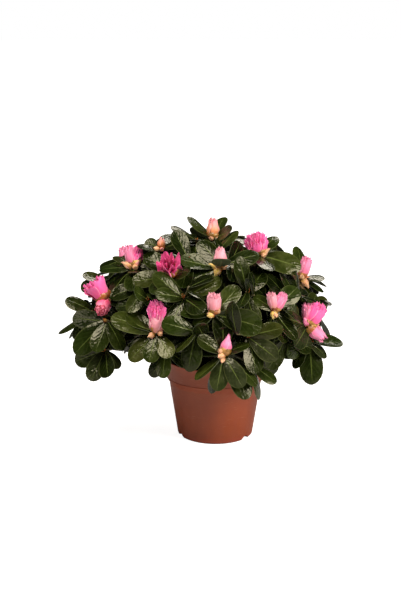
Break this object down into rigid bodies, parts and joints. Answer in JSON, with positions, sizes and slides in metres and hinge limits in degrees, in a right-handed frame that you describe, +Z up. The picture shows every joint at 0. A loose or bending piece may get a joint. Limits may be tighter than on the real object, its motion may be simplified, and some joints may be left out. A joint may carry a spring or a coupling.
{
  "type": "potted indian azalea",
  "caption": "Small evergreen azalea with a rounded crown of leathery leaves and pink half-open blooms, growing in a round tapered nursery pot.",
  "frame": {"origin": "centre of the pot's flat underside, on the surface that the pot stands on", "axes": "+Z up; -Y towards the plant's front, the side with most blooms; +X to the right seen from the front"},
  "size_m": [0.3309, 0.2638, 0.2632],
  "materials": {
    "pot_plastic": "thin terracotta-coloured plastic, satin, lightly scuffed",
    "potting_soil": "dark moist peat with bark crumbs",
    "bark": "thin brown bark, finely cracked",
    "leaf": "leathery dark green leaves with a gloss, pink blooms"
  },
  "bodies": {
    "root": {"pot": "pot_plastic", "soil": "potting_soil", "trunk": "bark", "bough_top": "bark", "bough_top_right": "bark", "bough_top_left": "bark", "bough_upper_front": "bark", "bough_upper_left": "bark", "bough_left": "bark", "bough_left_low": "bark", "bough_front_left": "bark", "bough_front": "bark", "bough_front_low": "bark", "bough_front_right": "bark", "bough_right": "bark", "bough_right_low": "bark", "bough_back_low_1": "bark", "bough_back_low_2": "bark", "bough_back_low_3": "bark", "bough_back_low_4": "bark", "bough_back_low_5": "bark", "bough_back_mid_1": "bark", "bough_back_mid_2": "bark", "bough_back_mid_3": "bark", "bough_back_mid_4": "bark", "bough_back_high_1": "bark", "bough_back_high_2": "bark", "foliage_top": "leaf", "foliage_top_right": "leaf", "foliage_top_left": "leaf", "foliage_upper_front": "leaf", "foliage_upper_left": "leaf", "foliage_left": "leaf", "foliage_left_low": "leaf", "foliage_front_left": "leaf", "foliage_front": "leaf", "foliage_front_low": "leaf", "foliage_front_right": "leaf", "foliage_right": "leaf", "foliage_right_low": "leaf", "foliage_back_low_1": "leaf", "foliage_back_low_2": "leaf", "foliage_back_low_3": "leaf", "foliage_back_low_4": "leaf", "foliage_back_low_5": "leaf", "foliage_back_mid_1": "leaf", "foliage_back_mid_2": "leaf", "foliage_back_mid_3": "leaf", "foliage_back_mid_4": "leaf", "foliage_back_high_1": "leaf", "foliage_back_high_2": "leaf"}
  },
  "joints": []
}
